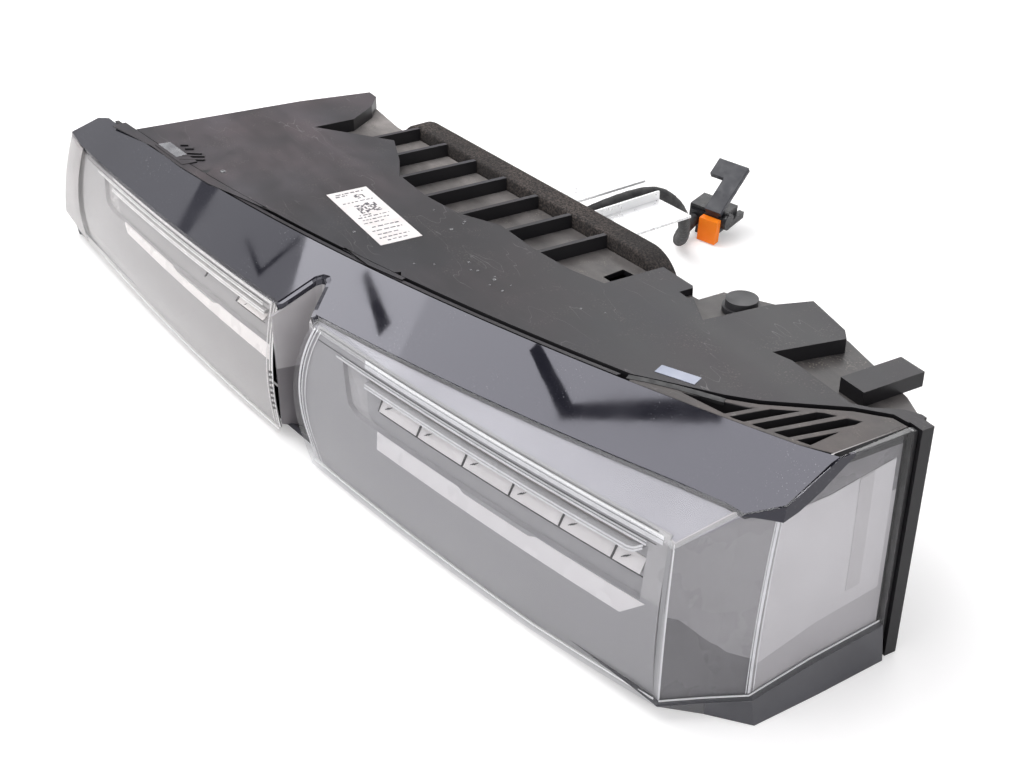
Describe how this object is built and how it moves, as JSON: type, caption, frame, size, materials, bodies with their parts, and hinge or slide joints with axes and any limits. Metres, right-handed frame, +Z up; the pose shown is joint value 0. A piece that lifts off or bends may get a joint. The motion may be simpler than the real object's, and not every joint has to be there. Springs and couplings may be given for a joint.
{
  "type": "vehicle tail light cluster",
  "caption": "Long curved rear light cluster: black tub, clear covers with a gloss black roof and a V notch, light guides, foam gasket, brackets and a short lead with plug.",
  "frame": {"origin": "on the floor under the middle of the lamp's box, measured without the free lead and its plug", "axes": "+X along the lamp towards the wrapped end, -Y out of the lens towards the viewer, +Z up from the floor that the underside rests on"},
  "size_m": [0.5751, 0.4245, 0.1294],
  "materials": {
    "housing_black": "fine grain, dusty",
    "roof_gloss": "polished",
    "cover_clear": "clear, lightly scuffed",
    "trim_gloss": "polished",
    "liner_grey": "satin",
    "seal_rubber": "matt",
    "bezel_silver": "satin metallised",
    "guide_clear": "polished",
    "reflector": "polished metallised",
    "optic_white": "satin",
    "board": "satin",
    "chips": "satin",
    "diffuser": "frosted",
    "smoked_bezel": "satin",
    "foam": "open-cell foam, coarse",
    "cover_black": "fine grain",
    "module_grey": "cast",
    "heat_sink": "plain",
    "steel": "zinc plated",
    "bright_sheet": "bright sheet",
    "lead_tape": "cloth tape wrap",
    "plug_black": "satin",
    "plug_grey": "satin",
    "plug_orange": "satin",
    "label_paper": "satin film",
    "label_foil": "foil",
    "label_grey": "satin film"
  },
  "bodies": {
    "root": {"housing": "housing_black", "roof_band": "roof_gloss", "near_cover": "cover_clear", "far_cover": "cover_clear", "lower_trim": "trim_gloss", "corner_plate": "housing_black", "notch_liner": "liner_grey", "sealing_bead": "seal_rubber", "side_seal": "seal_rubber", "near_bezel": "bezel_silver", "far_bezel": "bezel_silver", "near_light_guide": "guide_clear", "far_light_guide": "guide_clear", "near_cell_reflector": "reflector", "far_cell_reflector": "reflector", "near_optic_bar": "optic_white", "far_optic_bar": "optic_white", "near_led_board": "board", "far_led_board": "board", "led_chips": "chips", "near_carrier": "housing_black", "far_carrier": "housing_black", "side_diffuser": "diffuser", "corner_bezel": "smoked_bezel", "foam_gasket": "foam", "rear_cover": "cover_black", "driver_module": "module_grey", "heat_sink": "heat_sink", "cover_screws": "steel", "bracket_upper": "bright_sheet", "bracket_lower": "bright_sheet", "vent_cap": "cover_black", "mounting_studs": "steel", "locating_pin": "cover_black", "lead_grommet": "seal_rubber", "lead": "lead_tape", "plug_body": "plug_black", "plug_cap": "plug_grey", "plug_lock": "plug_orange", "rating_label": "label_paper", "foil_label": "label_foil", "code_label": "label_grey"}
  },
  "joints": []
}
